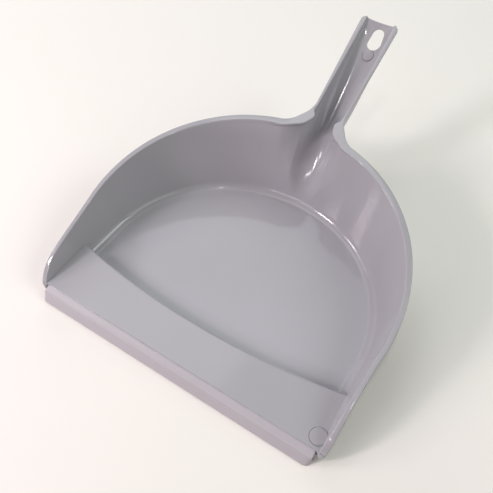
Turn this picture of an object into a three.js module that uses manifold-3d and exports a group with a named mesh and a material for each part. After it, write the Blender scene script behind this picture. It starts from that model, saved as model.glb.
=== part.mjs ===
// Hand dust pan: one moulded pan with an open-channel handle, and a soft lip strip pushed onto
// the front edge. Millimetres, +X across the pan, +Y from the lip to the end of the handle, +Z up.
// The sizes below measure Y from the tip of the lip; the group at the end centres the part.
import * as THREE from "three";
import Module from "manifold-3d";

// ---- tray
const wall = 2; // thickness of the moulding
const lean = 0.26; // outward lean of the walls, per millimetre of height
const floorFillet = 5; // inner radius where the wall meets the floor
const floorHalf = 108.6; // half width of the floor where the sides turn into the back
const floorHalfFront = floorHalf + 3.8; // half width of the floor at the lip
const turnY = 75; // where the sides turn into the elliptical back
const floorArc = 105.4; // depth of the elliptical back
const frontY = 9.3; // front face of the moulding, behind the lip strip

// ---- rim
const rimBase = 18.5;
const rimSlope = 0.29;
const rimSag = 10.4; // how far the rim falls off its straight line over 200 mm
const frontDip = 12.2; // how far the rim drops at the front corners
const frontDipLength = 9.2;
const rimThick = 3.2; // height of the band round the rim
const rimWidthFront = 2; // top width of the rim at the lip
const rimWidthBack = 5.6; // top width of the rim at the back
const rimFlare = 2; // extra top width at the front corners
const rimFlareLength = 22;

// ---- neck and handle
const handleEnd = 293.4; // end of the handle
const neckY = turnY + floorArc + 32.6; // where the back wall has turned into the handle
const neckRadius = 22; // plan radius from the back wall into the handle
const channelHalf = 11.5; // half width of the handle channel
const channelLean = 0.03; // draft of the channel sides
const bendY = neckY + 9; // where the handle bends up from the rim line
const bendSlope = 0.349;
const bendSoftness = 5;
const troughHeight = 50; // height of the channel bottom at the bend
const troughEndDepth = 2.03; // depth of the channel at the end of the handle
const troughEndRise = 3.4; // extra rise of the channel bottom over its last stretch
const troughEndRun = 9;
const troughFoot = 23; // where the channel bottom runs out on the back wall
const troughArc = 0.36; // rise of the channel bottom to its sides, as a share of its depth
const mouthRadius = 18; // rounding where the channel opens into the tray
const channelFillet = 1.2; // inner radius along the channel bottom in the handle
const mouthFillet = 7; // inner radius along the channel bottom at the mouth
const handleRimNeck = 2; // top width of the rim at the neck
const handleRimEnd = 4; // top width of the rim at the end of the handle
const tabReach = 3.6; // how far the snap tabs reach over the channel
const tabLead = 1.2; // how far the rim beside the tabs stands in over the wall
const tabThick = 2.2;
const tabStart = neckY - 16; // where the tabs start to reach over the channel
const tabEnd = neckY + 3;

// ---- hanging hole and round marks
const holeX = 1.8; // the hole and its mark sit slightly to one side
const holeNearY = handleEnd - 11;
const holeFarY = handleEnd - 5.5;
const holeNearRadius = 5.6;
const holeFarRadius = 4.8;
const handleMarkX = 1.7;
const handleMarkY = handleEnd - 19.4;
const handleMarkRadius = 4.3;
const rampMarkX = floorHalfFront - 3.4;
const rampMarkY = 17.8;
const rampMarkRadius = 5.8;
const markHeight = 0.5;
const handleMarkHeight = 1;

// ---- ramp behind the lip
const crestY = 49.6; // crest of the ramp at the side walls
const crestBow = 9.3; // how far the middle of the crest sits forward of its ends
const crestHeight = 12;
const rampFrontHeight = 8.6;
const crestDraft = 0.15;

// ---- lip strip
const lipHalf = floorHalfFront - 0.2; // half length of the strip
const lipCorner = 4; // plan radius of the strip's front corners
const lipRidgeY = 5.2;
const lipRidgeHeight = 6;
const noseGap = 0.7; // slit between the strip's ends and the noses of the side walls
const noseWidth = 4.8;
const noseReach = 1.9; // how far the noses stand in front of the moulding's front face
const noseLow = 2.5;
const noseHigh = rampFrontHeight;
const fitGap = 0.3; // clearance between the strip and the moulding
const tongueHeight = 1.6; // thickness of the tongue that carries the strip
const tongueLow = 2.6;
const tongueFrontY = lipRidgeY - 0.1;

const wasm = await Module();
wasm.setup();

const floorTop = wall;

// Height of the rim's top face at a distance y from the lip.
function rimHeight(y) {
  const line = rimBase + rimSlope * y - rimSag * (y / 200) ** 2;
  const dip = frontDip * Math.exp(-(y - frontY) / frontDipLength);
  const bend = bendSlope * bendSoftness * Math.log1p(Math.exp((y - bendY) / bendSoftness));
  return line - dip + bend;
}

// Slope of the channel bottom: it runs out towards the rim at the end of the handle.
const troughRise = rimHeight(handleEnd) - troughEndDepth - troughEndRise - troughHeight;
const troughSlope = troughRise / (handleEnd - bendY);

// Height of the channel bottom on the centre line.
function troughBottom(y) {
  const end = Math.max(y - handleEnd + troughEndRun, 0) / troughEndRun;
  const line = troughHeight + troughSlope * (y - bendY) + troughEndRise * end * end;
  const soft = 3;
  return troughFoot + soft * Math.log1p(Math.exp((line - troughFoot) / soft));
}

// Half width of the floor beside the straight part of the tray.
function floorHalfAt(y) {
  const share = (turnY - y) / (turnY - frontY);
  return floorHalf + (floorHalfFront - floorHalf) * share * share;
}

// Plan distance outside the corner line between floor and wall.
function floorDistance(x, y) {
  if (y <= turnY) return Math.abs(x) - floorHalfAt(y);
  const radius = Math.hypot(x, y - turnY);
  const share = Math.hypot(x / floorHalf, (y - turnY) / floorArc);
  return radius - radius / share;
}

// Blend from 0 to 1 between two values.
function ease(value, from, to) {
  const share = Math.min(Math.max((value - from) / (to - from), 0), 1);
  return share * share * (3 - 2 * share);
}

// The space inside two faces at once, with a rounded corner between them.
function insideCorner(a, b, radius) {
  const corner = Math.hypot(Math.max(radius + a, 0), Math.max(radius + b, 0));
  return Math.min(-radius, Math.max(a, b)) + corner;
}

// Distance into the material from the tray's inside: negative inside the hollow.
function trayDistance(x, y, z) {
  const below = floorTop - z;
  const outside = (floorDistance(x, y) - lean * (z - floorTop)) / Math.hypot(1, lean);
  return insideCorner(below, outside, floorFillet);
}

// Distance into the material from the handle channel: negative inside the channel.
function channelDistance(x, y, z) {
  const depth = Math.max(rimHeight(Math.max(y, neckY)) - troughBottom(Math.max(y, neckY)), 1);
  const across = x / channelHalf;
  const bottom = troughBottom(y) + troughArc * depth * Math.min(across * across, 1.5);
  const below = (bottom - z) / Math.hypot(1, troughSlope);
  const beside = Math.abs(x) - channelHalf - channelLean * (z - rimHeight(Math.max(y, neckY)));
  const fillet = channelFillet + (mouthFillet - channelFillet) * (1 - ease(y, neckY - 13, neckY + 25));
  return insideCorner(below, beside, fillet);
}

// The hollow is the tray and the channel, joined with a rounded mouth.
function materialDistance(x, y, z) {
  const tray = trayDistance(x, y, z);
  const channel = channelDistance(x, y, z);
  const round = Math.hypot(Math.max(mouthRadius - tray, 0), Math.max(mouthRadius - channel, 0));
  return Math.max(mouthRadius, Math.min(tray, channel)) - round;
}

// Sections along the right half, from the front corner round the back to the end of the handle:
// a point near the rim and the plan direction from it into the hollow.
function sectionRays() {
  const rays = [];
  const reach = (rimHeight(turnY + floorArc) - floorTop) * lean;
  for (const y of [frontY, 11.5, 14, 17, 21, 26, 33, 43, 58]) {
    rays.push({ x: floorHalfAt(y) + 8, y, dx: -1, dy: 0 });
  }
  const neckX = channelHalf + neckRadius;
  const backRadius = floorArc + reach;
  const neckCentreY = turnY + Math.sqrt((backRadius + neckRadius) ** 2 - neckX ** 2);
  const meet = Math.atan2(neckCentreY - turnY, neckX);
  const backSteps = 17;
  for (let i = 0; i <= backSteps; i += 1) {
    const angle = (meet * i) / backSteps;
    const radius = floorHalf + reach / 2 + (backRadius - floorHalf - reach / 2) * (i / backSteps);
    const x = radius * Math.cos(angle);
    const y = turnY + radius * Math.sin(angle);
    rays.push({ x, y, dx: -Math.cos(angle), dy: -Math.sin(angle) });
  }
  const neckSteps = 16;
  for (let i = 1; i <= neckSteps; i += 1) {
    const angle = meet * (1 - i / neckSteps);
    const x = neckX - neckRadius * Math.cos(angle);
    const y = neckCentreY - neckRadius * Math.sin(angle);
    rays.push({ x, y, dx: -Math.cos(angle), dy: -Math.sin(angle) });
  }
  const straight = [1, 2, 3.5, 6, 10, 17, 26, 36, 46, 56, 64, 70];
  const first = neckCentreY;
  for (const step of straight) {
    if (first + step < handleEnd - 3) {
      rays.push({ x: channelHalf, y: first + step, dx: -1, dy: 0 });
    }
  }
  for (const y of [handleEnd - 2.6, handleEnd - 1, handleEnd]) {
    rays.push({ x: channelHalf, y, dx: -1, dy: 0 });
  }
  return rays;
}

// Top width of the rim at a section.
function rimWidthAt(x, y) {
  const flare = rimFlare * Math.exp(-(y - frontY) / rimFlareLength);
  const back = rimWidthFront + ((rimWidthBack - rimWidthFront) * y) / 200 + flare;
  const along = (y - bendY) / (handleEnd - bendY);
  const handle = handleRimNeck + (handleRimEnd - handleRimNeck) * Math.max(along, 0);
  const width = back + (handle - back) * ease(y, neckY - 10, bendY) * (x < 30 ? 1 : 0);
  return width - 2.2 * ease(y, handleEnd - 2.8, handleEnd) ** 2;
}

// How far the snap tab reaches over the channel at a section.
function tabAt(x, y) {
  if (x > 60 || y < neckY - 33) return 0;
  const lead = tabLead * (1 - ease(x, 24, 46));
  const reach = lead + (tabReach - tabLead) * ease(y, tabStart, tabStart + 8);
  return reach * (1 - ease(y, tabEnd - 5, tabEnd));
}

// Solves a falling function of one number between two ends.
function solve(fn, low, high) {
  let a = low;
  let b = high;
  for (let i = 0; i < 50; i += 1) {
    const mid = (a + b) / 2;
    if (fn(mid) > 0) a = mid;
    else b = mid;
  }
  return (a + b) / 2;
}

// Follows one skin of the moulding down a section, from a height at the rim to the floor or the
// centre line, and returns evenly spread points, closer together where the skin curves.
function followSkin(ray, offset, drop, count) {
  const gap = (t, z) => materialDistance(ray.x + ray.dx * t, ray.y + ray.dy * t, z) - offset;
  const top = (t) => rimHeight(ray.y + ray.dy * t) - drop;
  const toCentre = ray.x / -ray.dx;
  let t = solve((s) => gap(s, top(s)), -14, Math.min(14, toCentre));
  let z = top(t);
  const flat = floorTop - offset;
  const path = [[t, z]];
  const stride = 0.4;
  const small = 0.01;
  for (let i = 0; i < 900; i += 1) {
    const gt = (gap(t + small, z) - gap(t - small, z)) / (2 * small);
    const gz = (gap(t, z + small) - gap(t, z - small)) / (2 * small);
    const size = Math.hypot(gt, gz);
    t += (-gz / size) * stride;
    z += (gt / size) * stride;
    for (let k = 0; k < 3; k += 1) {
      const g = gap(t, z);
      t -= (g * gt) / size ** 2;
      z -= (g * gz) / size ** 2;
    }
    if (t >= toCentre) {
      const end = solve((h) => gap(toCentre, h), flat - 0.5, top(toCentre) + 20);
      path.push([toCentre, end]);
      break;
    }
    if (z < flat + 0.004) {
      path.push([t, flat]);
      break;
    }
    path.push([t, z]);
  }
  const weight = [0];
  for (let i = 1; i < path.length; i += 1) {
    const [t0, z0] = path[i - 1];
    const [t1, z1] = path[i];
    const before = path[Math.max(i - 2, 0)];
    let turn = Math.atan2(z1 - z0, t1 - t0) - Math.atan2(z0 - before[1], t0 - before[0]);
    if (i < 2) turn = 0;
    weight.push(weight[i - 1] + Math.hypot(t1 - t0, z1 - z0) + 7 * Math.abs(turn));
  }
  const points = [];
  let k = 1;
  for (let j = 0; j < count; j += 1) {
    const want = (weight[weight.length - 1] * j) / (count - 1);
    while (k < weight.length - 1 && weight[k] < want) k += 1;
    const share = (want - weight[k - 1]) / (weight[k] - weight[k - 1] || 1);
    const at = path[k - 1][0] + (path[k][0] - path[k - 1][0]) * share;
    const height = path[k - 1][1] + (path[k][1] - path[k - 1][1]) * share;
    points.push([at, height]);
  }
  return points;
}

// One section of the pan: its upper skin and its lower skin, both from the rim's lower outer edge.
function panSection(ray, count) {
  const inner = followSkin(ray, 0, 0, 60);
  const edge = inner[0][0];
  const edgeX = ray.x + ray.dx * edge;
  const edgeY = ray.y + ray.dy * edge;
  const width = rimWidthAt(edgeX, edgeY);
  const tab = tabAt(edgeX, edgeY);
  const rimZ = rimHeight(edgeY);
  const depth = rimZ - inner[inner.length - 1][1];
  const lip = Math.min(tabThick, 0.3 * depth);
  const belowTab = followSkin(ray, 0, lip, 2);
  const outer = followSkin(ray, wall, rimThick, count);
  const upper = [
    [edge - width, rimZ - rimThick],
    [edge - width, rimZ],
    [edge + tab, rimZ],
    [Math.max(belowTab[0][0], edge + tab), rimZ - lip],
    ...followSkin(ray, 0, lip * 1.2, count),
  ];
  const under = [[edge - width, rimZ - rimThick], ...outer];
  const place = ([t, z]) => [ray.x + ray.dx * t, ray.y + ray.dy * t, z];
  return { upper: upper.map(place), under: under.map(place) };
}

// Collects triangles, joining corners that share a place.
class Faces {
  constructor() {
    this.index = new Map();
    this.points = [];
    this.triangles = [];
  }

  corner(p) {
    const x = Math.abs(p[0]) < 1e-4 ? 0 : p[0];
    const key = [x, p[1], p[2]].map((v) => Math.round(v * 2000)).join(",");
    if (!this.index.has(key)) {
      this.index.set(key, this.points.length);
      this.points.push([x, p[1], p[2]]);
    }
    return this.index.get(key);
  }

  triangle(a, b, c) {
    const [i, j, k] = [this.corner(a), this.corner(b), this.corner(c)];
    if (i !== j && j !== k && k !== i) this.triangles.push(i, j, k);
  }

  quad(a, b, c, d) {
    this.triangle(a, b, c);
    this.triangle(a, c, d);
  }

  solid() {
    const vertProperties = new Float32Array(this.points.flat());
    const triVerts = new Uint32Array(this.triangles);
    const made = new wasm.Manifold(new wasm.Mesh({ numProp: 3, vertProperties, triVerts }));
    if (made.volume() > 0) return made;
    for (let i = 0; i < triVerts.length; i += 3) {
      [triVerts[i + 1], triVerts[i + 2]] = [triVerts[i + 2], triVerts[i + 1]];
    }
    return new wasm.Manifold(new wasm.Mesh({ numProp: 3, vertProperties, triVerts }));
  }
}

const mirror = ([x, y, z]) => [-x, y, z];

// A skin and its mirror image across the pan, with the flat part between them.
function addSkin(faces, lines, facingUp) {
  for (let i = 0; i + 1 < lines.length; i += 1) {
    const near = lines[i];
    const far = lines[i + 1];
    for (let j = 0; j + 1 < near.length; j += 1) {
      const ring = [near[j], near[j + 1], far[j + 1], far[j]];
      const back = [...ring].reverse();
      if (facingUp) {
        faces.quad(...back);
        faces.quad(...ring.map(mirror));
      } else {
        faces.quad(...ring);
        faces.quad(...back.map(mirror));
      }
    }
    const a = near[near.length - 1];
    const b = far[far.length - 1];
    const middle = [a, b, mirror(b), mirror(a)];
    if (facingUp) faces.quad(...middle);
    else faces.quad(...middle.reverse());
  }
}

// Closes the end of the pan between its upper and lower skins.
function addEnd(faces, section, facingFront) {
  const upper = section.upper;
  const under = section.under;
  const last = upper.length - 1;
  const loop = [...upper, ...[...under].reverse().slice(0, -1)];
  const shape = loop.map(([x, , z]) => new THREE.Vector2(x, z));
  for (const [a, b, c] of THREE.ShapeUtils.triangulateShape(shape, [])) {
    const corners = [loop[a], loop[b], loop[c]];
    const flat = corners.map(([x, , z]) => [x, z]);
    const turn =
      (flat[1][0] - flat[0][0]) * (flat[2][1] - flat[0][1]) -
      (flat[1][1] - flat[0][1]) * (flat[2][0] - flat[0][0]);
    const ordered = turn > 0 === facingFront ? corners : [corners[0], corners[2], corners[1]];
    faces.triangle(...ordered);
    faces.triangle(...ordered.map(mirror).reverse());
  }
  const a = upper[last];
  const b = under[under.length - 1];
  const middle = [a, mirror(a), mirror(b), b];
  if (facingFront) faces.quad(...middle);
  else faces.quad(...middle.reverse());
}

// The moulded shell without ramp, marks and hole.
function shellSolid(sections) {
  const faces = new Faces();
  addSkin(faces, sections.map((s) => s.upper), true);
  addSkin(faces, sections.map((s) => s.under), false);
  addEnd(faces, sections[0], true);
  addEnd(faces, sections[sections.length - 1], false);
  return faces.solid();
}

// Everything between the lower skin and the rim, used to trim the ramp to the walls.
function envelopeSolid(sections) {
  const faces = new Faces();
  const lines = sections.map((s) => s.under.slice(1));
  addSkin(faces, lines, false);
  for (let i = 0; i + 1 < lines.length; i += 1) {
    const a = lines[i][0];
    const b = lines[i + 1][0];
    faces.quad(mirror(a), a, b, mirror(b));
  }
  const ends = [lines[0], lines[lines.length - 1]];
  ends.forEach((line, which) => {
    const loop = [...line, ...line.map(mirror).reverse()];
    const kept = loop.filter((p, i) => i === 0 || Math.abs(p[0] - loop[i - 1][0]) > 1e-6);
    const shape = kept.map(([x, , z]) => new THREE.Vector2(x, z));
    for (const [a, b, c] of THREE.ShapeUtils.triangulateShape(shape, [])) {
      const corners = [kept[a], kept[b], kept[c]];
      const turn =
        (corners[1][0] - corners[0][0]) * (corners[2][2] - corners[0][2]) -
        (corners[1][2] - corners[0][2]) * (corners[2][0] - corners[0][0]);
      const front = which === 0;
      faces.triangle(...(turn > 0 === front ? corners : [corners[0], corners[2], corners[1]]));
    }
  });
  return faces.solid();
}

// A closed body from level rings of points, each ring running the same way round.
function ringSolid(rings) {
  const faces = new Faces();
  for (let i = 0; i + 1 < rings.length; i += 1) {
    const size = rings[i].length;
    for (let j = 0; j < size; j += 1) {
      const k = (j + 1) % size;
      faces.quad(rings[i][j], rings[i][k], rings[i + 1][k], rings[i + 1][j]);
    }
  }
  const cap = (ring, flip) => {
    const shape = ring.map(([x, y]) => new THREE.Vector2(x, y));
    for (const [a, b, c] of THREE.ShapeUtils.triangulateShape(shape, [])) {
      if (flip) faces.triangle(ring[a], ring[c], ring[b]);
      else faces.triangle(ring[a], ring[b], ring[c]);
    }
  };
  cap(rings[0], true);
  cap(rings[rings.length - 1], false);
  return faces.solid();
}

// Crest line of the ramp, bowed towards the lip.
function crestAt(x) {
  return crestY - crestBow * (1 - (x / floorHalf) ** 2);
}

// The ramp body: up from the front face to the crest, then down to the floor.
function rampSolid(inset, base, topInset) {
  const steps = 24;
  const half = floorHalfFront + 3 - inset * 3.2;
  const front = frontY + inset;
  const ring = (z, back) => {
    const points = [[-half, front, z(front)], [half, front, z(front)]];
    for (let i = 0; i <= steps; i += 1) {
      const x = half - (2 * half * i) / steps;
      const y = crestAt(x) + back - inset;
      points.push([x, y, z(y)]);
    }
    return points;
  };
  const rise = (crestHeight - rampFrontHeight) / (crestY - frontY);
  const top = (y) => rampFrontHeight + rise * (y - frontY) - topInset;
  const bottomBack = crestDraft * (crestHeight - base);
  return ringSolid([ring(() => base, bottomBack), ring(top, 0)]);
}

// A three.js geometry as a solid.
function solidOf(geometry) {
  const flat = geometry.index ? geometry.toNonIndexed() : geometry;
  const place = flat.getAttribute("position");
  const faces = new Faces();
  const at = (i) => [place.getX(i), place.getY(i), place.getZ(i)];
  for (let i = 0; i < place.count; i += 3) faces.triangle(at(i), at(i + 1), at(i + 2));
  return faces.solid();
}

// A solid as a three.js geometry.
function geometryOf(solid) {
  const mesh = solid.getMesh();
  const geometry = new THREE.BufferGeometry();
  const count = mesh.vertProperties.length / mesh.numProp;
  const place = new Float32Array(count * 3);
  for (let i = 0; i < count; i += 1) {
    for (let k = 0; k < 3; k += 1) {
      place[i * 3 + k] = mesh.vertProperties[i * mesh.numProp + k];
    }
  }
  geometry.setAttribute("position", new THREE.BufferAttribute(place, 3));
  geometry.setIndex(new THREE.BufferAttribute(new Uint32Array(mesh.triVerts), 1));
  geometry.computeVertexNormals();
  return geometry;
}

// The hanging hole: a large and a small arc joined by straight sides, cut square through the web.
function hangingHole() {
  const span = (holeFarY - holeNearY) * Math.hypot(1, troughSlope);
  const tilt = Math.asin((holeNearRadius - holeFarRadius) / span);
  const outline = new THREE.Shape();
  outline.absarc(0, 0, holeNearRadius, Math.PI - tilt, tilt, false);
  outline.absarc(0, span, holeFarRadius, tilt, Math.PI - tilt, false);
  const depth = 24;
  const options = { depth, bevelEnabled: false, curveSegments: 12 };
  const geometry = new THREE.ExtrudeGeometry(outline, options);
  geometry.translate(0, 0, -depth / 2);
  geometry.rotateX(Math.atan(troughSlope));
  geometry.translate(holeX, holeNearY, troughBottom(holeNearY));
  return solidOf(geometry);
}

// A low round mark standing on a sloping face.
function roundMark(x, y, z, radius, slope, height) {
  const geometry = new THREE.CylinderGeometry(radius, radius, wall, 28);
  geometry.rotateX(Math.PI / 2 + Math.atan(slope));
  geometry.translate(x, y, z + height - wall / 2);
  return solidOf(geometry);
}

// The tongue along the front edge that carries the lip strip.
function tongueSolid() {
  const length = 2 * (lipHalf - 2);
  const depth = frontY + wall - tongueFrontY;
  const geometry = new THREE.BoxGeometry(length, depth, tongueHeight);
  geometry.translate(0, tongueFrontY + depth / 2, tongueLow + tongueHeight / 2);
  return solidOf(geometry);
}

// The noses of the side walls, one beside each end of the lip strip.
function noseSolid(side) {
  const radius = noseWidth / 2;
  const tip = frontY - noseReach;
  const outline = new THREE.Shape();
  outline.moveTo(radius, frontY + wall);
  outline.lineTo(-radius, frontY + wall);
  outline.absarc(0, tip + radius, radius, Math.PI, 2 * Math.PI, false);
  outline.closePath();
  const options = { depth: noseHigh - noseLow, bevelEnabled: false, curveSegments: 8 };
  const geometry = new THREE.ExtrudeGeometry(outline, options);
  geometry.translate(side * (lipHalf + noseGap + radius), 0, noseLow);
  return solidOf(geometry);
}

function panBody() {
  const sections = sectionRays().map((ray) => panSection(ray, 11));
  const shell = shellSolid(sections);
  const envelope = envelopeSolid(sections);
  const ramp = rampSolid(0, 0, 0).intersect(envelope);
  const hollow = rampSolid(wall, -1, wall);
  const rise = (crestHeight - rampFrontHeight) / (crestY - frontY);
  const markZ = rampFrontHeight + rise * (rampMarkY - frontY);
  const rampMark = roundMark(rampMarkX, rampMarkY, markZ, rampMarkRadius, rise, markHeight);
  const handleMark = roundMark(
    handleMarkX,
    handleMarkY,
    troughBottom(handleMarkY),
    handleMarkRadius,
    troughSlope,
    handleMarkHeight,
  );
  return shell
    .add(ramp)
    .subtract(hollow)
    .add(tongueSolid())
    .add(noseSolid(1))
    .add(noseSolid(-1))
    .add(rampMark)
    .add(handleMark)
    .subtract(hangingHole());
}

// The plan of the strip, with rounded front corners.
function lipPlan() {
  const outline = new THREE.Shape();
  outline.moveTo(lipHalf, frontY);
  outline.lineTo(-lipHalf, frontY);
  outline.absarc(lipCorner - lipHalf, lipCorner, lipCorner, Math.PI, 1.5 * Math.PI, false);
  outline.absarc(lipHalf - lipCorner, lipCorner, lipCorner, 1.5 * Math.PI, 2 * Math.PI, false);
  outline.closePath();
  const height = 2 * rampFrontHeight;
  const options = { depth: height, bevelEnabled: false, curveSegments: 6 };
  const geometry = new THREE.ExtrudeGeometry(outline, options);
  geometry.translate(0, 0, -height / 4);
  return solidOf(geometry);
}

// The soft strip: a sloped front, a ridge, a top band and a groove that takes the tongue.
function lipStrip() {
  const rear = frontY - fitGap;
  const grooveFront = tongueFrontY - fitGap;
  const grooveLow = tongueLow - fitGap;
  const grooveHigh = tongueLow + tongueHeight + fitGap;
  const outline = new THREE.Shape();
  outline.moveTo(0, 0);
  outline.lineTo(rear, 0);
  outline.lineTo(rear, grooveLow);
  outline.lineTo(grooveFront, grooveLow);
  outline.lineTo(grooveFront, grooveHigh);
  outline.lineTo(rear, grooveHigh);
  outline.lineTo(rear, rampFrontHeight);
  outline.lineTo(lipRidgeY + 0.6, lipRidgeHeight + 0.45);
  outline.lineTo(lipRidgeY - 0.3, lipRidgeHeight - 0.1);
  outline.lineTo(0, 0.5);
  outline.closePath();
  const options = { depth: 2 * lipHalf, bevelEnabled: false };
  const geometry = new THREE.ExtrudeGeometry(outline, options);
  geometry.rotateY(Math.PI / 2);
  geometry.rotateX(Math.PI / 2);
  geometry.translate(-lipHalf, 0, 0);
  return geometryOf(solidOf(geometry).intersect(lipPlan()));
}

const panMaterial = new THREE.MeshStandardMaterial({
  color: 0xb3b1b6,
  roughness: 0.35,
  metalness: 0,
});
const lipMaterial = new THREE.MeshStandardMaterial({
  color: 0xbdb3bc,
  roughness: 0.5,
  metalness: 0,
});

const dustPan = new THREE.Group();
dustPan.position.set(0, -handleEnd / 2, 0);

const body = new THREE.Mesh(geometryOf(panBody()), panMaterial);
body.name = "pan_body";
dustPan.add(body);

const strip = new THREE.Mesh(lipStrip(), lipMaterial);
strip.name = "lip_strip";
dustPan.add(strip);

export default dustPan;
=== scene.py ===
"""Hand dust pan: a glossy moulded tray with an open-channel handle, and a soft strip along its lip.

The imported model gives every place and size. Each operator builds one piece round it. Lengths in the
shape functions are millimetres, with Y measured from the tip of the lip, as a mould maker would
dimension the pan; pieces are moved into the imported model's frame when they are finished.
"""

import math
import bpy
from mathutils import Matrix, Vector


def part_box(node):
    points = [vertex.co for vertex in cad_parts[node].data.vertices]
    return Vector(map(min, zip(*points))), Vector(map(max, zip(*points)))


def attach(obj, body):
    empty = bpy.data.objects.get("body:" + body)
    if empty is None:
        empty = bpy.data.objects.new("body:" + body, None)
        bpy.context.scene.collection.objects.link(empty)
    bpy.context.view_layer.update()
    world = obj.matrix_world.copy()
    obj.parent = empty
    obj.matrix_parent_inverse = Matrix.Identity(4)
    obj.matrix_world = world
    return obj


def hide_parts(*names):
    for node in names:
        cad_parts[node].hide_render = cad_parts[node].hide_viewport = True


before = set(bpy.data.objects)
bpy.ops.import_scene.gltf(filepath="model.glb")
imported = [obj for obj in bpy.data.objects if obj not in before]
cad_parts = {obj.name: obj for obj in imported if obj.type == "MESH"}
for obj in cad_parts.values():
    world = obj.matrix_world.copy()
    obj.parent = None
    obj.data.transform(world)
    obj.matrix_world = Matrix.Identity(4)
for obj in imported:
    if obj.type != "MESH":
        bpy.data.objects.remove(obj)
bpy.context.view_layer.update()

from types import SimpleNamespace

import bmesh
import bpy
import numpy as np
from mathutils import Matrix, Quaternion, Vector

bl_info = {
    "name": "Hand dust pan",
    "version": (1, 0, 0),
    "blender": (4, 5, 0),
    "location": "View3D > Sidebar > Dust pan",
    "description": "Builds a moulded hand dust pan with a soft lip",
    "category": "Object",
}

LIP_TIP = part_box("lip_strip")[0][1]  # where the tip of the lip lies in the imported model
HANDLE_END = 1000 * (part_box("pan_body")[1][1] - LIP_TIP)

# ---- tray, in millimetres
FLOOR_FILLET = 5
TURN_Y = 75  # where the straight sides turn into the elliptical back
FLOOR_ARC = 105.4
FLOOR_HALF_FRONT = 112.4
FLOOR_HALF = 108.6
FRONT_Y = 9.3

# ---- rim
RIM_BASE = 18.5
RIM_SLOPE = 0.29
RIM_SAG = 10.4
FRONT_DIP = 12.2
FRONT_DIP_LENGTH = 9.2
RIM_WIDTH_FRONT = 2
RIM_WIDTH_BACK = 5.6
RIM_FLARE = 2  # extra top width at the front corners
RIM_FLARE_LENGTH = 22

# ---- neck and handle
NECK_Y = 213
NECK_RADIUS = 22
CHANNEL_LEAN = 0.03
BEND_Y = 222
BEND_SLOPE = 0.349
BEND_SOFTNESS = 5
TROUGH_HEIGHT = 50
TROUGH_SLOPE = 0.71
TROUGH_END_RISE = 3.4
TROUGH_END_RUN = 9
TROUGH_FOOT = 23
TROUGH_ARC = 0.36
MOUTH_RADIUS = 18
CHANNEL_FILLET = 1.2
MOUTH_FILLET = 7
MOUTH_FADE = (200, 238)  # where the wide fillet gives way to the channel's
HANDLE_RIM_NECK = 2
HANDLE_RIM_END = 4
HANDLE_RIM_TAPER = 2.2  # how much narrower the rim is where the handle ends
HANDLE_RIM_TAPER_RUN = 2.8
HANDLE_RIM_BLEND = (203, 222)  # where the back rim turns into the handle's
TAB_LEAD = 1.2
TAB_THICK = 2.2
TAB_FRONT = 180  # no tab in front of this
TAB_SIDE = 60  # no tab further out than this
TAB_LEAD_SIDES = (24, 46)  # where the low lead-in fades out sideways
TAB_RISE = (197, 205)
TAB_FALL = (211, 216)

# ---- hole and round marks
HOLE = (1.8, 282.4, 287.9)  # sideways place, and the centres of its large and small arcs
HANDLE_MARK = (1.7, 274)
RAMP_MARK = (109, 17.8)
RAMP_MARK_HEIGHT = 0.5
HANDLE_MARK_HEIGHT = 1.0
MARK_GROOVE = 0.3  # width of the groove round each mark
MARK_GROOVE_DEPTH = 0.4

# ---- ramp behind the lip
CREST_Y = 49.6
CREST_BOW = 9.3
CREST_HEIGHT = 12
RAMP_FRONT_HEIGHT = 8.6
CREST_DRAFT = 0.15
RAMP_SLOPE = (CREST_HEIGHT - RAMP_FRONT_HEIGHT) / (CREST_Y - FRONT_Y)

# ---- strip, and the tongue and noses round it
LIP_CORNER = 4
LIP_RIDGE = (4.4, 6.3)
LIP_END_EDGE = 1.1  # rounding of the strip's end faces
BAND_SINK = 0.2  # how far the strip's top band lies below its two edges
BAND_EDGE = 0.8  # width of the raised edge beside the moulding
RIDGE_BEAD = 0.2  # how far the bead along the ridge stands up
JOINT = 0.05  # the fine line between the strip and the moulding
FIT_GAP = 0.3
NOSE = SimpleNamespace(gap=0.7, width=4.8, reach=1.9, low=2.5, high=8.6)
TONGUE = SimpleNamespace(height=1.6, low=2.6, front=5.1)


def length(name, millimetres, description):
    """A size property, shown in the scene's length unit."""
    return bpy.props.FloatProperty(
        name=name,
        description=description,
        default=millimetres / 1000,
        min=0.0001,
        precision=5,
        unit="LENGTH",
    )


def linear(code):
    """An sRGB hex colour as linear red, green, blue and alpha."""
    parts = [int(code[i : i + 2], 16) / 255 for i in (1, 3, 5)]
    return [c / 12.92 if c <= 0.04045 else ((c + 0.055) / 1.055) ** 2.4 for c in parts] + [1]


def colour(name, code, description):
    """A colour property whose default is given as an sRGB hex code."""
    return bpy.props.FloatVectorProperty(
        name=name,
        description=description,
        default=linear(code),
        min=0,
        max=1,
        size=4,
        subtype="COLOR",
    )


class PanSizes(bpy.types.PropertyGroup):
    """Sizes of the moulded pan."""

    wall: length("Wall", 2, "Thickness of the moulding")
    rim_thick: length("Rim band", 3.2, "Height of the band round the rim")
    channel_half: length("Channel half width", 11.5, "Half width of the handle channel")
    tab_reach: length("Tab reach", 3.6, "How far the snap tabs reach over the channel")
    hole_near: length("Hole radius", 5.6, "Radius of the hanging hole's large end")
    hole_far: length("Hole far radius", 4.8, "Radius of the hanging hole's small end")
    handle_mark: length("Handle mark radius", 4.3, "Radius of the round mark in the handle")
    ramp_mark: length("Ramp mark radius", 5.8, "Radius of the round mark on the ramp")
    lean: bpy.props.FloatProperty(
        name="Wall lean",
        description="Outward lean of the walls, per unit of height",
        default=0.26,
        min=0,
        max=1,
        subtype="FACTOR",
    )


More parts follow.
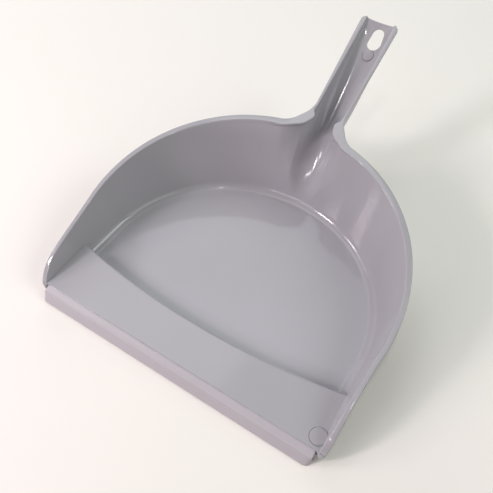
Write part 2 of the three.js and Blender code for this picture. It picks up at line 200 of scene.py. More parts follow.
class LipSizes(bpy.types.PropertyGroup):
    """Sizes of the soft strip."""

    half: length("Half length", 112.2, "Half length of the strip")
    edge: length("Edge radius", 0.5, "Rounding along the strip's ridge")


class Finishes(bpy.types.PropertyGroup):
    """Colours of the pan, its strip and the floor."""

    plastic: colour("Plastic", "#ABA9AE", "Moulded polypropylene")
    lip: colour("Lip", "#B7B2B7", "Soft elastomer")
    floor: colour("Floor", "#F3EEE9", "Studio floor")


class StageSettings(bpy.types.PropertyGroup):
    """Where the camera stands."""

    azimuth: bpy.props.FloatProperty(
        name="Azimuth",
        description="Angle of the camera round the pan",
        default=math.radians(33.49),
        subtype="ANGLE",
    )
    elevation: bpy.props.FloatProperty(
        name="Elevation",
        description="Angle of the camera above the floor",
        default=math.radians(54.0),
        subtype="ANGLE",
    )
    roll: bpy.props.FloatProperty(
        name="Roll",
        description="Turn of the camera about its own axis",
        default=math.radians(-0.62),
        subtype="ANGLE",
    )
    distance: length("Distance", 457.2, "From the camera to the point that it turns round")


# ---------------------------------------------------------------- shape of the pan


def pan_shape():
    """The pan's sizes in millimetres, under short names."""
    group = bpy.context.scene.pan_sizes
    names = ("wall", "rim_thick", "channel_half", "tab_reach", "hole_near", "hole_far")
    names += ("handle_mark", "ramp_mark")
    shape = SimpleNamespace(**{name: 1000 * getattr(group, name) for name in names})
    shape.lean = group.lean
    return shape


def ease(value, start, end):
    """Blend from 0 to 1 between two values."""
    share = np.clip((value - start) / (end - start), 0, 1)
    return share * share * (3 - 2 * share)


def soft_step(value):
    """Grows from 0 to value, with a rounded start."""
    return np.logaddexp(0, value)


def rim_height(y):
    """Height of the rim's top face at a distance y from the lip."""
    line = RIM_BASE + RIM_SLOPE * y - RIM_SAG * (y / 200) ** 2
    dip = FRONT_DIP * np.exp(-(y - FRONT_Y) / FRONT_DIP_LENGTH)
    return line - dip + BEND_SLOPE * BEND_SOFTNESS * soft_step((y - BEND_Y) / BEND_SOFTNESS)


def trough_bottom(y):
    """Height of the channel bottom on the centre line."""
    end = np.maximum(y - HANDLE_END + TROUGH_END_RUN, 0) / TROUGH_END_RUN
    line = TROUGH_HEIGHT + TROUGH_SLOPE * (y - BEND_Y) + TROUGH_END_RISE * end * end
    soft = 3
    return TROUGH_FOOT + soft * soft_step((line - TROUGH_FOOT) / soft)


def floor_half_at(y):
    """Half width of the floor beside the straight part of the tray."""
    share = (TURN_Y - y) / (TURN_Y - FRONT_Y)
    return FLOOR_HALF + (FLOOR_HALF_FRONT - FLOOR_HALF) * share * share


def floor_distance(x, y):
    """Plan distance outside the corner line between floor and wall."""
    radius = np.hypot(x, y - TURN_Y)
    share = np.maximum(np.hypot(x / FLOOR_HALF, (y - TURN_Y) / FLOOR_ARC), 1e-6)
    return np.where(y <= TURN_Y, np.abs(x) - floor_half_at(y), radius - radius / share)


def inside_corner(a, b, radius):
    """The space inside two faces at once, with a rounded corner between them."""
    corner = np.hypot(np.maximum(radius + a, 0), np.maximum(radius + b, 0))
    return np.minimum(-radius, np.maximum(a, b)) + corner


def tray_distance(shape, x, y, z):
    """Distance into the material from the tray's inside: negative inside the hollow."""
    outside = floor_distance(x, y) - shape.lean * (z - shape.wall)
    return inside_corner(shape.wall - z, outside / math.hypot(1, shape.lean), FLOOR_FILLET)


def channel_distance(shape, x, y, z):
    """Distance into the material from the handle channel: negative inside the channel."""
    neck = np.maximum(y, NECK_Y)
    depth = np.maximum(rim_height(neck) - trough_bottom(neck), 1)
    across = np.minimum((x / shape.channel_half) ** 2, 1.5)
    bottom = trough_bottom(y) + TROUGH_ARC * depth * across
    below = (bottom - z) / math.hypot(1, TROUGH_SLOPE)
    beside = np.abs(x) - shape.channel_half - CHANNEL_LEAN * (z - rim_height(neck))
    widening = 1 - ease(y, *MOUTH_FADE)
    fillet = CHANNEL_FILLET + (MOUTH_FILLET - CHANNEL_FILLET) * widening
    return inside_corner(below, beside, fillet)


def material_distance(shape, x, y, z):
    """The hollow is the tray and the channel, joined with a rounded mouth."""
    tray = tray_distance(shape, x, y, z)
    channel = channel_distance(shape, x, y, z)
    near = np.hypot(np.maximum(MOUTH_RADIUS - tray, 0), np.maximum(MOUTH_RADIUS - channel, 0))
    return np.maximum(MOUTH_RADIUS, np.minimum(tray, channel)) - near


def section_rays(shape):
    """Sections along the right half, from the front corner round the back to the handle's end:
    a point near the rim and the plan direction from it into the hollow."""
    rays = []
    reach = (rim_height(TURN_Y + FLOOR_ARC) - shape.wall) * shape.lean
    for share in np.linspace(0, 1, 34)[:-1]:
        y = FRONT_Y + (TURN_Y - FRONT_Y) * share**1.6
        rays.append((floor_half_at(y) + 8, y, -1.0, 0.0))
    neck_x = shape.channel_half + NECK_RADIUS
    back = FLOOR_ARC + reach
    neck_y = TURN_Y + math.sqrt((back + NECK_RADIUS) ** 2 - neck_x**2)
    meet = math.atan2(neck_y - TURN_Y, neck_x)
    side = FLOOR_HALF + reach / 2
    for share in np.linspace(0, 1, 90):
        angle = meet * share
        radius = side + (back - side) * share
        cos, sin = math.cos(angle), math.sin(angle)
        rays.append((radius * cos, TURN_Y + radius * sin, -cos, -sin))
    for share in np.linspace(0, 1, 49)[1:]:
        angle = meet * (1 - share)
        cos, sin = math.cos(angle), math.sin(angle)
        rays.append((neck_x - NECK_RADIUS * cos, neck_y - NECK_RADIUS * sin, -cos, -sin))
    for share in np.linspace(0, 1, 46)[1:-1]:
        y = neck_y + (HANDLE_END - 3 - neck_y) * share**1.3
        rays.append((shape.channel_half, y, -1.0, 0.0))
    for back_off in (3, 2.4, 1.8, 1.3, 0.8, 0.4, 0.15, 0):
        rays.append((shape.channel_half, HANDLE_END - back_off, -1.0, 0.0))
    return np.array(rays).T


def rim_width_at(x, y):
    """Top width of the rim at a section."""
    flare = RIM_FLARE * np.exp(-(y - FRONT_Y) / RIM_FLARE_LENGTH)
    back = RIM_WIDTH_FRONT + (RIM_WIDTH_BACK - RIM_WIDTH_FRONT) * y / 200 + flare
    along = np.maximum((y - BEND_Y) / (HANDLE_END - BEND_Y), 0)
    handle = HANDLE_RIM_NECK + (HANDLE_RIM_END - HANDLE_RIM_NECK) * along
    width = back + (handle - back) * ease(y, *HANDLE_RIM_BLEND) * (x < 30)
    taper = ease(y, HANDLE_END - HANDLE_RIM_TAPER_RUN, HANDLE_END)
    return width - HANDLE_RIM_TAPER * taper**2


def tab_at(shape, x, y):
    """How far the snap tab reaches over the channel at a section."""
    lead = TAB_LEAD * (1 - ease(x, *TAB_LEAD_SIDES))
    reach = lead + (shape.tab_reach - TAB_LEAD) * ease(y, *TAB_RISE)
    away = (x > TAB_SIDE) | (y < TAB_FRONT)
    return np.where(away, 0, reach * (1 - ease(y, *TAB_FALL)))


def solve(function, low, high):
    """Solves a falling function of many numbers at once between two ends."""
    low, high = np.broadcast_arrays(low, high)
    for _ in range(44):
        middle = (low + high) / 2
        positive = function(middle) > 0
        low = np.where(positive, middle, low)
        high = np.where(positive, high, middle)
    return (low + high) / 2


def spread(path, count):
    """Points along every path at once, closer together where it curves."""
    step = np.diff(path, axis=0)
    run = np.hypot(step[:, 0], step[:, 1])
    moved = run > 1e-9
    heading = np.arctan2(step[:, 1], step[:, 0])
    turn = np.abs(np.diff(heading, axis=0)) * (moved[1:] & moved[:-1])
    turn = np.minimum(turn, 2 * math.pi - turn)
    weight = run + 9 * np.vstack([np.zeros((1, run.shape[1])), turn])
    weight = np.vstack([np.zeros((1, run.shape[1])), np.cumsum(weight, axis=0)])
    points = np.empty((count, 2, path.shape[2]))
    for i in range(path.shape[2]):
        want = np.linspace(0, weight[-1, i], count)
        points[:, 0, i] = np.interp(want, weight[:, i], path[:, 0, i])
        points[:, 1, i] = np.interp(want, weight[:, i], path[:, 1, i])
    return points


def follow_skin(shape, rays, offset, drop, count):
    """Walks down one skin of every section at once, from a height below the rim to the floor or
    the centre line, and returns evenly spread points, closer together where the skin curves."""
    x0, y0, dx, dy = rays

    def gap(t, z):
        return material_distance(shape, x0 + dx * t, y0 + dy * t, z) - offset

    def top(t):
        return rim_height(y0 + dy * t) - drop

    centre = x0 / -dx
    flat = shape.wall - offset
    t = solve(lambda s: gap(s, top(s)), np.full_like(x0, -14), np.minimum(14, centre))
    z = top(t)
    path = [(t, z)]
    going = np.full(x0.shape, True)
    end = solve(lambda h: gap(centre, h), np.full_like(x0, flat - 0.5), top(centre) + 20)
    stride, small = 0.4, 0.01
    for _ in range(900):
        gt = (gap(t + small, z) - gap(t - small, z)) / (2 * small)
        gz = (gap(t, z + small) - gap(t, z - small)) / (2 * small)
        size = np.maximum(np.hypot(gt, gz), 1e-6)
        new_t = t - gz / size * stride
        new_z = z + gt / size * stride
        for _ in range(3):
            error = gap(new_t, new_z)
            new_t = new_t - error * gt / size**2
            new_z = new_z - error * gz / size**2
        at_centre = new_t >= centre
        on_floor = ~at_centre & (new_z < flat + 0.004)
        new_z = np.where(at_centre, end, np.where(on_floor, flat, new_z))
        new_t = np.where(at_centre, centre, new_t)
        t = np.where(going, new_t, t)
        z = np.where(going, new_z, z)
        going = going & ~at_centre & ~on_floor
        path.append((t, z))
        if not going.any():
            break
    path = np.array(path)
    return spread(path, count)


def rounded(before, corner, after, radius, steps=5):
    """A short arc in place of a corner, for every section at once."""
    before, corner, after = (np.array(p) for p in (before, corner, after))
    sides = []
    for end in (before, after):
        side = end - corner
        run = np.maximum(np.hypot(*side), 1e-9)
        sides.append(corner + side * np.minimum(radius / run, 0.48))
    arc = []
    for s in np.linspace(0, 1, steps):
        arc.append((1 - s) ** 2 * sides[0] + 2 * s * (1 - s) * corner + s * s * sides[1])
    return arc


def pan_sections(shape):
    """Rings of points round the moulding, one for each section, as sections x ring x 3."""
    rays = section_rays(shape)
    x0, y0, dx, dy = rays
    inner = follow_skin(shape, rays, 0, 0, 60)
    edge = inner[0, 0]
    edge_x, edge_y = x0 + dx * edge, y0 + dy * edge
    width = rim_width_at(edge_x, edge_y)
    tab = tab_at(shape, edge_x, edge_y)
    rim = rim_height(edge_y)
    lip = np.minimum(TAB_THICK, 0.3 * (rim - inner[-1, 1]))
    below_tab = follow_skin(shape, rays, 0, lip, 2)[0, 0]
    upper = follow_skin(shape, rays, 0, lip * 1.2, 84)
    under = follow_skin(shape, rays, shape.wall, shape.rim_thick, 44)
    foot = (edge - width, rim - shape.rim_thick)
    crown = (edge - width, rim)
    brow = (edge + tab, rim)
    chin = (np.maximum(below_tab, edge + tab), rim - lip)
    ring = [*upper[::-1]]
    ring += rounded(upper[0], chin, brow, np.where(tab > 0.3, 0.9, 0.2), 4)
    ring += rounded(chin, brow, crown, 0.8, 6)
    ring += rounded(brow, crown, foot, 0.9, 6)
    ring += rounded(crown, foot, under[0], 0.5, 4)
    ring += [*under]
    ring = np.array(ring)
    t, z = ring[:, 0], ring[:, 1]
    return np.stack([x0 + dx * t, y0 + dy * t, z], axis=-1).transpose(1, 0, 2)


def across(right, left, steps):
    """Points between the two ends of a skin, from right to left."""
    shares = np.linspace(0, 1, steps + 2)[1:-1, None, None]
    return (right + (left - right) * shares).transpose(1, 0, 2)


def mirrored(points):
    return points * np.array([-1, 1, 1])


def shell_mesh(shape):
    """The moulded shell as one closed mesh: rings round each section, joined end to end."""
    half = pan_sections(shape)
    other = mirrored(half[:, ::-1])
    below = across(half[:, -1], other[:, 0], 20)
    above = across(other[:, -1], half[:, 0], 20)
    rings = np.concatenate([half, below, other, above], axis=1)
    count, size, _ = rings.shape
    quads = []
    for i in range(count - 1):
        for j in range(size):
            k = (j + 1) % size
            quads.append((i * size + j, i * size + k, (i + 1) * size + k, (i + 1) * size + j))
    caps = [tuple(range(size)), tuple(range((count - 1) * size, count * size))[::-1]]
    return rings.reshape(-1, 3), quads + caps


# ---------------------------------------------------------------- building pieces


def new_piece(name, points, faces, merge=0.002):
    """A mesh object from points in millimetres, closed, with its faces turned outwards."""
    mesh = bpy.data.meshes.new(name)
    mesh.from_pydata([tuple(p) for p in points], [], faces)
    piece = bpy.data.objects.new(name, mesh)
    bpy.context.scene.collection.objects.link(piece)
    cloth = bmesh.new()
    cloth.from_mesh(mesh)
    bmesh.ops.remove_doubles(cloth, verts=cloth.verts, dist=merge)
    bmesh.ops.dissolve_degenerate(cloth, edges=cloth.edges, dist=merge / 4)
    bmesh.ops.recalc_face_normals(cloth, faces=cloth.faces)
    cloth.to_mesh(mesh)
    cloth.free()
    return piece


def combine(piece, tool, operation):
    """Joins a second closed body to a piece, or cuts it away."""
    modifier = piece.modifiers.new(operation, "BOOLEAN")
    modifier.operation = operation
    modifier.solver = "MANIFOLD"
    modifier.object = tool
    seen = piece.evaluated_get(bpy.context.evaluated_depsgraph_get())
    mesh = bpy.data.meshes.new_from_object(seen)
    piece.modifiers.clear()
    piece.data = mesh
    bpy.data.objects.remove(tool)
    if not len(mesh.polygons):
        raise RuntimeError(f"{operation} left nothing of {piece.name}")


def finish_piece(piece, material, node, sharp=32):
    """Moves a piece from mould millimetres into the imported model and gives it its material."""
    piece.data.transform(Matrix.Translation((0, LIP_TIP, 0)) @ Matrix.Scale(0.001, 4))
    piece.data.materials.clear()
    piece.data.materials.append(material)
    piece.data.shade_smooth()
    piece.data.set_sharp_from_angle(angle=math.radians(sharp))
    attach(piece, "root")
    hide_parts(node)


def lathe_mark(name, radius, height, depth, edge):
    """A low round mark: a short cylinder standing on its axis with a rounded top edge."""
    profile = [(0, -depth), (radius, -depth)]
    for angle in np.linspace(0, math.pi / 2, 5):
        reach = radius - edge + edge * math.cos(angle)
        profile.append((reach, height - edge + edge * math.sin(angle)))
    profile.append((radius * 0.5, height))
    profile.append((0, height))
    turns = 64
    points, faces = [], []
    for i in range(turns):
        angle = 2 * math.pi * i / turns
        for reach, rise in profile:
            points.append((reach * math.cos(angle), reach * math.sin(angle), rise))
    size = len(profile)
    for i in range(turns):
        for j in range(size - 1):
            k = (i + 1) % turns
            faces.append((i * size + j, k * size + j, k * size + j + 1, i * size + j + 1))
    return new_piece(name, points, faces)


def lay_on_slope(piece, x, y, z, slope):
    """Tilts a piece about X to a slope and puts it in place."""
    turn = Matrix.Rotation(math.atan(slope), 4, "X")
    piece.data.transform(Matrix.Translation((x, y, z)) @ turn)


def add_round_mark(body, radius, height, place):
    """A low round mark with a fine groove round its foot."""
    groove = lathe_mark("groove", radius + MARK_GROOVE, 3.0, MARK_GROOVE_DEPTH, 0.1)
    lay_on_slope(groove, *place)
    combine(body, groove, "DIFFERENCE")
    mark = lathe_mark("mark", radius, height, 1.0, 0.2)
    lay_on_slope(mark, *place)
    combine(body, mark, "UNION")


def prism(name, outline, low, high):
    """A closed body of one outline between two heights."""
    size = len(outline)
    points = [(x, y, low) for x, y in outline] + [(x, y, high) for x, y in outline]
    faces = [tuple(range(size))[::-1], tuple(range(size, 2 * size))]
    for j in range(size):
        k = (j + 1) % size
        faces.append((j, k, size + k, size + j))
    return new_piece(name, points, faces)


def hole_outline(shape):
    """A large and a small arc joined by straight sides."""
    span = (HOLE[2] - HOLE[1]) * math.hypot(1, TROUGH_SLOPE)
    tilt = math.asin((shape.hole_near - shape.hole_far) / span)
    outline = []
    for angle in np.linspace(math.pi - tilt, 2 * math.pi + tilt, 40):
        outline.append((shape.hole_near * math.cos(angle), shape.hole_near * math.sin(angle)))
    for angle in np.linspace(tilt, math.pi - tilt, 30):
        x = shape.hole_far * math.cos(angle)
        outline.append((x, span + shape.hole_far * math.sin(angle)))
    return outline


def side_at(shape, y, z, offset):
    """Half width of the tray at a height, measured to a face set into its wall."""
    upright = math.hypot(1, shape.lean)
    centre_z = shape.wall + FLOOR_FILLET
    corner = floor_half_at(y)
    centre_x = corner + shape.lean * FLOOR_FILLET - FLOOR_FILLET * upright
    reach = FLOOR_FILLET + offset
    turn_z = centre_z - shape.lean / upright * reach
    if z >= turn_z:
        return corner + shape.lean * (z - shape.wall) + offset * upright
    return centre_x + math.sqrt(max(reach**2 - (centre_z - z) ** 2, 0))


def crest_at(x):
    """Crest line of the ramp, bowed towards the lip."""
    return CREST_Y - CREST_BOW * (1 - (x / FLOOR_HALF) ** 2)


def ramp_rise(y):
    """Height of the ramp's top face."""
    return RAMP_FRONT_HEIGHT + RAMP_SLOPE * (y - FRONT_Y)


def ramp_profile(inset, base):
    """Outline of the ramp from its front foot over the crest, as shares of its run and heights."""
    crest = 1.3 if not inset else 0.4
    brow = 0.45
    profile = [("front", 0.0, base)]
    for s in np.linspace(0, 1, 5):
        profile.append(("front", brow * s**2, -brow * (1 - s) ** 2))
    for s in np.linspace(0.06, 0.97, 22):
        profile.append(("between", s, 0.0))
    for s in np.linspace(0, 1, 7):
        profile.append(("crest", -crest * (1 - s) ** 2, -crest * s**2))
    profile.append(("back", 0.0, base))
    return profile


def swept_faces(columns, size):
    """Faces of a body swept through equal outlines, with an end cap on the first and the last."""
    faces = [tuple(range(size)), tuple(range((columns - 1) * size, columns * size))[::-1]]
    for i in range(columns - 1):
        for j in range(size):
            k = (j + 1) % size
            faces.append((i * size + j, (i + 1) * size + j, (i + 1) * size + k, i * size + k))
    return faces


def ramp_body(shape, name, inset, base):
    """The ramp as a closed body: its profile swept across the tray, with ends inside the walls."""
    columns = 61
    offset = 1.0 if not inset else -inset
    front = FRONT_Y - 0.03 + inset
    profile = ramp_profile(inset, base)
    points = []
    for u in np.linspace(-1, 1, columns):
        for place, along, height in profile:
            x = u * FLOOR_HALF
            y, z = front, base
            for _ in range(6):
                crest = crest_at(x) - inset
                if place == "front":
                    y = front + along
                elif place == "between":
                    y = front + (crest - front) * along
                elif place == "crest":
                    y = crest + along
                else:
                    y = crest + CREST_DRAFT * (ramp_rise(crest) - base)
                if place == "back" or (place == "front" and height == base):
                    z = base
                else:
                    z = ramp_rise(y) - inset + height
                x = u * side_at(shape, y, max(z, 1), offset)
            points.append((x, y, z))
    return new_piece(name, points, swept_faces(columns, len(profile)))


def nose_outline(side, lip_half):
    """Plan of the nose of a side wall, beside the end of the strip."""
    radius = NOSE.width / 2
    centre = side * (lip_half + NOSE.gap + radius)
    tip = FRONT_Y - NOSE.reach
    outline = [(centre + radius, FRONT_Y + 1.5), (centre - radius, FRONT_Y + 1.5)]
    for angle in np.linspace(math.pi, 2 * math.pi, 17):
        outline.append((centre + radius * math.cos(angle), tip + radius + radius * math.sin(angle)))
    return outline


class DUSTPAN_OT_pan_body(bpy.types.Operator):
    """Builds the one-piece moulding: tray, ramp, neck, handle and hanging hole"""

    bl_idname = "dustpan.pan_body"
    bl_label = "Moulded pan"

    def execute(self, context):
        shape = pan_shape()
        lip_half = 1000 * context.scene.lip_sizes.half
        body = new_piece("moulded_pan", *shell_mesh(shape))
        combine(body, ramp_body(shape, "ramp", 0, 1.0), "UNION")
        combine(body, ramp_body(shape, "ramp_hollow", shape.wall, -1.0), "DIFFERENCE")
        length_half = lip_half - 2
        plan = [(-length_half, TONGUE.front), (length_half, TONGUE.front)]
        plan += [(length_half, FRONT_Y + 1), (-length_half, FRONT_Y + 1)]
        low, high = TONGUE.low, TONGUE.low + TONGUE.height
        combine(body, prism("tongue", plan, low, high), "UNION")
        for side in (1, -1):
            nose = prism("nose", nose_outline(side, lip_half), NOSE.low, NOSE.high)
            combine(body, nose, "UNION")
        place = (*RAMP_MARK, ramp_rise(RAMP_MARK[1]), RAMP_SLOPE)
        add_round_mark(body, shape.ramp_mark, RAMP_MARK_HEIGHT, place)
        place = (*HANDLE_MARK, float(trough_bottom(HANDLE_MARK[1])), TROUGH_SLOPE)
        add_round_mark(body, shape.handle_mark, HANDLE_MARK_HEIGHT, place)
        hole = prism("hole", hole_outline(shape), -12, 12)
        lay_on_slope(hole, HOLE[0], HOLE[1], float(trough_bottom(HOLE[1])), TROUGH_SLOPE)
        combine(body, hole, "DIFFERENCE")
        finish_piece(body, polypropylene(context), "pan_body")
        return {"FINISHED"}


# ---------------------------------------------------------------- soft strip


def lip_profile(edge):
    """Outline of the strip from the underside of its tip: groove, sunken top band, bead, front."""
    rear = FRONT_Y - JOINT
    groove = TONGUE.front - FIT_GAP
    low = TONGUE.low - FIT_GAP
    high = TONGUE.low + TONGUE.height + FIT_GAP
    top = Vector((rear, RAMP_FRONT_HEIGHT))
    ridge = Vector(LIP_RIDGE)
    down = (ridge - top).normalized()
    out = Vector((down.y, -down.x))
    band = (ridge - top).length
    corners = [
        ((0, 0), 0.15),
        ((rear, 0), 0.2),
        ((rear, low), 0.1),
        ((groove, low), 0.1),
        ((groove, high), 0.1),
        ((rear, high), 0.1),
        (top, 0.35),
        (top + down * BAND_EDGE, 0.2),
        (top + down * (BAND_EDGE + 0.3) - out * BAND_SINK, 0.25),
        (top + down * (band - 0.9) - out * BAND_SINK, 0.3),
        (ridge + out * RIDGE_BEAD, edge),
        (ridge + (Vector((0, 0.5)) - ridge) * 0.14, 0.4),
        ((0, 0.5), 0.2),
    ]
    outline = []
    for i, (corner, radius) in enumerate(corners):
        before = corners[i - 1][0]
        after = corners[(i + 1) % len(corners)][0]
        outline += [tuple(p) for p in rounded(before, corner, after, radius, 5)]
    return outline


def strip_stations(half):
    """Places along the strip, closer together in its rounded corners."""
    corner = [half - LIP_CORNER * (1 - math.sin(a)) for a in np.linspace(0, math.pi / 2, 22)]
    middle = list(np.linspace(-(half - LIP_CORNER), half - LIP_CORNER, 41))[1:-1]
    return [-x for x in corner[::-1]] + middle + corner


def strip_points(half, outline, stations):
    """The outline at every station, rounded in plan at the corners and over the end faces."""
    middle_y, middle_z = FRONT_Y * 0.55, RAMP_FRONT_HEIGHT / 2
    points = []
    for x in stations:
        inward = max(abs(x) - (half - LIP_CORNER), 0)
        front = LIP_CORNER - math.sqrt(max(LIP_CORNER**2 - inward**2, 0))
        squeeze = (LIP_RIDGE[0] - front) / LIP_RIDGE[0]
        past = max(abs(x) - (half - LIP_END_EDGE), 0)
        shrink = 1 - (LIP_END_EDGE - math.sqrt(LIP_END_EDGE**2 - past**2)) / middle_z
        for y, z in outline:
            if y < LIP_RIDGE[0]:
                y = LIP_RIDGE[0] - (LIP_RIDGE[0] - y) * squeeze
            y = middle_y + (y - middle_y) * shrink
            z = middle_z + (z - middle_z) * shrink
            points.append((x, y, z))
    return points


class DUSTPAN_OT_lip_strip(bpy.types.Operator):
    """Builds the soft strip pushed onto the front edge"""

    bl_idname = "dustpan.lip_strip"
    bl_label = "Soft lip strip"

    def execute(self, context):
        sizes = context.scene.lip_sizes
        outline = lip_profile(1000 * sizes.edge)
        stations = strip_stations(1000 * sizes.half)
        points = strip_points(1000 * sizes.half, outline, stations)
        strip = new_piece("soft_lip", points, swept_faces(len(stations), len(outline)))
        finish_piece(strip, elastomer(context), "lip_strip")
        return {"FINISHED"}


# ---------------------------------------------------------------- materials


def add_node(tree, kind, settings=(), inputs=(), links=()):
    """Adds one node with its settings, fixed inputs and links."""
    node = tree.nodes.new(kind)
    for name, value in dict(settings).items():
        setattr(node, name, value)
    for socket, value in dict(inputs).items():
        node.inputs[socket].default_value = value
    for socket, source in dict(links).items():
        tree.links.new(source, node.inputs[socket])
    return node


def new_material(name):
    material = bpy.data.materials.new(name)
    material.use_nodes = True
    material.node_tree.nodes.clear()
    return material, material.node_tree


def per_metre(millimetres):
    """Noise scale whose features are this many millimetres apart."""
    return 1000 / millimetres


def moulded_finish(name, main, shade, *, roughness, ior, grain, grain_depth, wave, wave_depth):
    """A plastic surface: slight shade drift, fine grain and a slow wave from moulding shrinkage.
    Grain and wave are sizes in millimetres."""
    material, tree = new_material(name)
    place = add_node(tree, "ShaderNodeTexCoord").outputs["Object"]
    drift = add_node(
        tree,
        "ShaderNodeTexNoise",
        inputs={"Scale": per_metre(38), "Detail": 2.0, "Roughness": 0.5},
        links={"Vector": place},
    ).outputs["Fac"]
    base = add_node(
        tree,
        "ShaderNodeMix",
        settings={"data_type": "RGBA"},
        inputs={"A": main, "B": linear(shade)},
        links={"Factor": drift},
    )
    fine = add_node(
        tree,
        "ShaderNodeTexNoise",
        inputs={"Scale": per_metre(grain), "Detail": 3.0, "Roughness": 0.6},
        links={"Vector": place},
    ).outputs["Fac"]
    slow = add_node(
        tree,
        "ShaderNodeTexNoise",
        inputs={"Scale": per_metre(wave), "Detail": 1.0, "Roughness": 0.4},
        links={"Vector": place},
    ).outputs["Fac"]
    waved = add_node(
        tree,
        "ShaderNodeBump",
        inputs={"Strength": 1.0, "Distance": wave_depth / 1000},
        links={"Height": slow},
    )
    bump = add_node(
        tree,
        "ShaderNodeBump",
        inputs={"Strength": 1.0, "Distance": grain_depth / 1000},
        links={"Height": fine, "Normal": waved.outputs["Normal"]},
    )
    polish = add_node(
        tree,
        "ShaderNodeMapRange",
        inputs={"To Min": roughness - 0.03, "To Max": roughness + 0.03},
        links={"Value": slow},
    )
    surface = add_node(
        tree,
        "ShaderNodeBsdfPrincipled",
        inputs={"IOR": ior},
        links={
            "Base Color": base.outputs["Result"],
            "Roughness": polish.outputs["Result"],
            "Normal": bump.outputs["Normal"],
        },
    )
    add_node(tree, "ShaderNodeOutputMaterial", links={"Surface": surface.outputs["BSDF"]})
    return material


def polypropylene(context):
    """Injection-moulded polypropylene: a soft gloss with wide, slightly wavy highlights."""
    return moulded_finish(
        "Polypropylene, injection moulded",
        context.scene.finishes.plastic,
        "#A8A5AA",
        roughness=0.1,
        ior=1.49,
        grain=1.6,
        grain_depth=0.001,
        wave=34,
        wave_depth=0.06,
    )


def elastomer(context):
    """Moulded thermoplastic elastomer: satin, with a fine grain that breaks up highlights."""
    return moulded_finish(
        "Thermoplastic elastomer, moulded",
        context.scene.finishes.lip,
        "#B3AEB3",
        roughness=0.5,
        ior=1.48,
        grain=0.8,
        grain_depth=0.01,
        wave=20,
        wave_depth=0.05,
    )


# ---------------------------------------------------------------- stage


SOFTBOXES = (
    # name, azimuth and elevation in degrees, size in metres, power in watts, colour
    ("front left key", -40, 32, (0.2, 0.3), 7.1, "#FFF3FA"),
    ("right back", 120, 40, (0.6, 0.6), 5.55, "#F4FFF6"),
    ("low left back", -135, 22, (0.8, 0.3), 4.38, "#F6FFFE"),
    ("ceiling", -150, 55, (0.8, 0.7), 3.13, "#F6FDFF"),
    ("right", 80, 35, (0.7, 0.6), 2.48, "#FBF9FF"),
    ("left strip", -62, 30, (0.14, 0.3), 2.15, "#FFF2F5"),
    ("left", -68, 33, (0.5, 0.4), 1.6, "#FFF5F6"),
    ("high left", -100, 65, (0.5, 0.5), 1.36, "#F7FBFF"),
    ("front fill", -45, 52, (0.5, 0.4), 0.62, "#FFF8FB"),
    ("top", 0, 88, (0.6, 0.6), 0.6, "#F4FFF4"),
    ("low right front", 50, 18, (0.6, 0.3), 0.45, "#FFEAE3"),
    ("thin front strip", -16, 26, (0.62, 0.05), 2.4, "#FFFAFC"),
    ("small front lamp", 22, 71, (0.045, 0.08), 0.8, "#FFFFFF"),
)
LIGHT_DISTANCE = 1.3
FLOOR_RADIUS = 0.95
FLOOR_CORNERS = 128
FLOOR_CLEARANCE = 0.0003  # the studio floor lies this far below the pan, in metres
CAMERA_AIM = Vector((0, LIP_TIP + 0.11, 0.02))
CAMERA_LENS = 45.28
CAMERA_SHIFT = (-0.0113, 0.0042)


def direction(azimuth, elevation):
    """Unit vector from the pan towards a place round it; azimuth 0 is in front of the lip."""
    flat = math.cos(elevation)
    return Vector((math.sin(azimuth) * flat, -math.cos(azimuth) * flat, math.sin(elevation)))


def area_light(name, azimuth, elevation, size, power, code):
    """A rectangular softbox, turned to the middle of the pan."""
    data = bpy.data.lights.new(name, "AREA")
    data.shape = "RECTANGLE"
    data.size, data.size_y = size
    data.energy = power
    data.color = linear(code)[:3]
    light = bpy.data.objects.new(name, data)
    back = direction(math.radians(azimuth), math.radians(elevation))
    light.location = Vector((0, 0, 0.02)) + back * LIGHT_DISTANCE
    light.rotation_mode = "QUATERNION"
    light.rotation_quaternion = back.to_track_quat("Z", "Y")
    bpy.context.scene.collection.objects.link(light)


def studio_floor(main):
    """A round floor, just below the pan, of matt paint on a smooth board."""
    mesh = bpy.data.meshes.new("floor")
    turns = [2 * math.pi * i / FLOOR_CORNERS for i in range(FLOOR_CORNERS)]
    rim = [(FLOOR_RADIUS * math.cos(a), FLOOR_RADIUS * math.sin(a), 0) for a in turns]
    mesh.from_pydata(rim, [], [tuple(range(FLOOR_CORNERS))])
    floor = bpy.data.objects.new("floor", mesh)
    floor.location.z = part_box("pan_body")[0][2] - FLOOR_CLEARANCE
    bpy.context.scene.collection.objects.link(floor)
    material, tree = new_material("Paint, matt, rolled")
    place = add_node(tree, "ShaderNodeTexCoord").outputs["Object"]
    drift = add_node(
        tree, "ShaderNodeTexNoise", inputs={"Scale": 3.0, "Detail": 1.0}, links={"Vector": place}
    )
    ramp = add_node(
        tree,
        "ShaderNodeMix",
        settings={"data_type": "RGBA"},
        inputs={"A": main, "B": linear("#EFEAE4")},
        links={"Factor": drift.outputs["Fac"]},
    )
    surface = add_node(
        tree,
        "ShaderNodeBsdfPrincipled",
        inputs={"Roughness": 0.9, "Specular IOR Level": 0.2},
        links={"Base Color": ramp.outputs["Result"]},
    )
    add_node(tree, "ShaderNodeOutputMaterial", links={"Surface": surface.outputs["BSDF"]})
    mesh.materials.append(material)


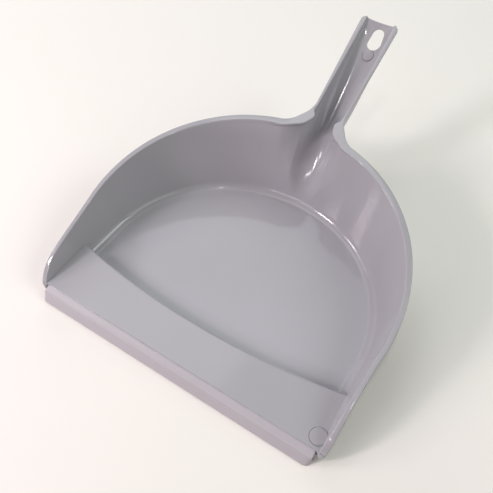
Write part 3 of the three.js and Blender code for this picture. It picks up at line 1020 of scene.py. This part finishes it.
def studio_camera(settings):
    """A camera that looks down on the pan from its right front."""
    data = bpy.data.cameras.new("camera")
    data.sensor_width = 36
    data.lens = CAMERA_LENS
    data.shift_x, data.shift_y = CAMERA_SHIFT
    data.clip_start, data.clip_end = 0.01, 20
    camera = bpy.data.objects.new("camera", data)
    back = direction(settings.azimuth, settings.elevation)
    camera.location = CAMERA_AIM + back * settings.distance
    camera.rotation_mode = "QUATERNION"
    level = (-back).to_track_quat("-Z", "Y")
    camera.rotation_quaternion = level @ Quaternion((0, 0, 1), settings.roll)
    bpy.context.scene.collection.objects.link(camera)
    bpy.context.scene.camera = camera


class DUSTPAN_OT_stage(bpy.types.Operator):
    """Sets up the floor, the soft lights and the camera"""

    bl_idname = "dustpan.stage"
    bl_label = "Stage"

    def execute(self, context):
        scene = context.scene
        studio_floor(scene.finishes.floor)
        world = bpy.data.worlds.new("studio")
        world.use_nodes = True
        back = world.node_tree.nodes["Background"]
        back.inputs["Color"].default_value = linear("#DDDAD6")
        back.inputs["Strength"].default_value = 1.0
        scene.world = world
        # a pale backdrop behind the floor's edge; the softboxes do all the lighting
        world.cycles_visibility.diffuse = False
        world.cycles_visibility.glossy = False
        scene.view_settings.view_transform = "Standard"
        for name, azimuth, elevation, size, power, code in SOFTBOXES:
            area_light(name, azimuth, elevation, size, power, code)
        studio_camera(scene.stage_settings)
        return {"FINISHED"}


class DUSTPAN_PT_panel(bpy.types.Panel):
    """Lists the pieces of the dust pan"""

    bl_label = "Dust pan"
    bl_idname = "DUSTPAN_PT_panel"
    bl_space_type = "VIEW_3D"
    bl_region_type = "UI"
    bl_category = "Dust pan"

    def draw(self, context):
        for operator in OPERATORS:
            self.layout.operator(operator.bl_idname)


GROUPS = {
    "pan_sizes": PanSizes,
    "lip_sizes": LipSizes,
    "finishes": Finishes,
    "stage_settings": StageSettings,
}
OPERATORS = (DUSTPAN_OT_pan_body, DUSTPAN_OT_lip_strip, DUSTPAN_OT_stage)


def register():
    for group in GROUPS.values():
        bpy.utils.register_class(group)
    for name, group in GROUPS.items():
        setattr(bpy.types.Scene, name, bpy.props.PointerProperty(type=group))
    for item in (*OPERATORS, DUSTPAN_PT_panel):
        bpy.utils.register_class(item)


def unregister():
    for item in (DUSTPAN_PT_panel, *reversed(OPERATORS)):
        bpy.utils.unregister_class(item)
    for name, group in GROUPS.items():
        delattr(bpy.types.Scene, name)
        bpy.utils.unregister_class(group)


def main():
    register()
    bpy.ops.dustpan.pan_body()
    bpy.ops.dustpan.lip_strip()
    bpy.ops.dustpan.stage()
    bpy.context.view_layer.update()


if __name__ == "__main__":
    main()
